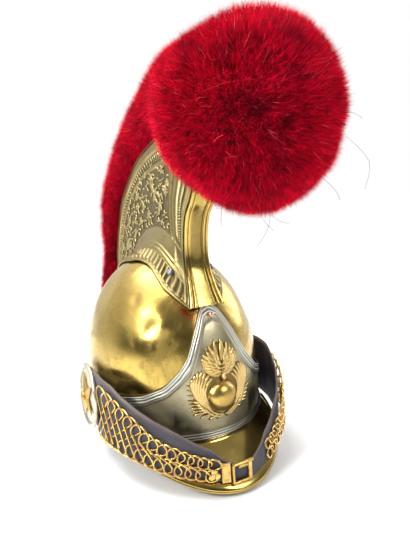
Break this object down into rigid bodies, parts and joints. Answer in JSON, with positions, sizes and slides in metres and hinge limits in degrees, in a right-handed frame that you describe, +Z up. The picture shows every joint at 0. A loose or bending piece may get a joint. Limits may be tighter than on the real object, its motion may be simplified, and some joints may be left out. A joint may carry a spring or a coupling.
{
  "type": "carabinier helmet",
  "caption": "Metal cavalry helmet with a tall comb, a woollen chenille, a front plate, a visor and a chain chin strap.",
  "frame": {"origin": "middle of the box's underside, on the floor that the helmet stands on", "axes": "+Z up, -Y towards the front of the helmet, -X towards the wearer's right side"},
  "size_m": [0.2284, 0.4716, 0.4222],
  "materials": {
    "brass_skull": "aged, polished brass with soft patina",
    "silvered_plate": "worn silver plating",
    "copper_rivet": "coppery rivet head",
    "gilt_ornament": "pressed gilt brass, dark in the recesses",
    "cast_comb": "cast brass, dull golden grey",
    "polished_brass": "bright polished brass",
    "dark_steel": "dark screw head",
    "black_leather": "smooth black leather with brown cut edges",
    "gilt_chain": "drawn brass wire and pressed fittings",
    "silvered_rosette": "worn silver plating",
    "crimson_wool": "deep crimson wool pile"
  },
  "bodies": {
    "root": {"skull": "brass_skull", "front_plate": "silvered_plate", "plate_rivet": "copper_rivet", "grenade": "gilt_ornament", "comb_left": "cast_comb", "comb_right": "cast_comb", "comb_front": "polished_brass", "comb_spine": "cast_comb", "comb_screw_left": "dark_steel", "comb_screw_right": "dark_steel", "visor": "polished_brass", "visor_rim": "polished_brass", "neck_guard": "polished_brass", "strap_left": "black_leather", "strap_right": "black_leather", "chain_left": "gilt_chain", "chain_right": "gilt_chain", "chain_end_plate": "gilt_chain", "buckle": "gilt_chain", "rosette_left": "silvered_rosette", "rosette_right": "silvered_rosette", "star_left": "gilt_ornament", "star_right": "gilt_ornament", "chenille": "crimson_wool"}
  },
  "joints": []
}
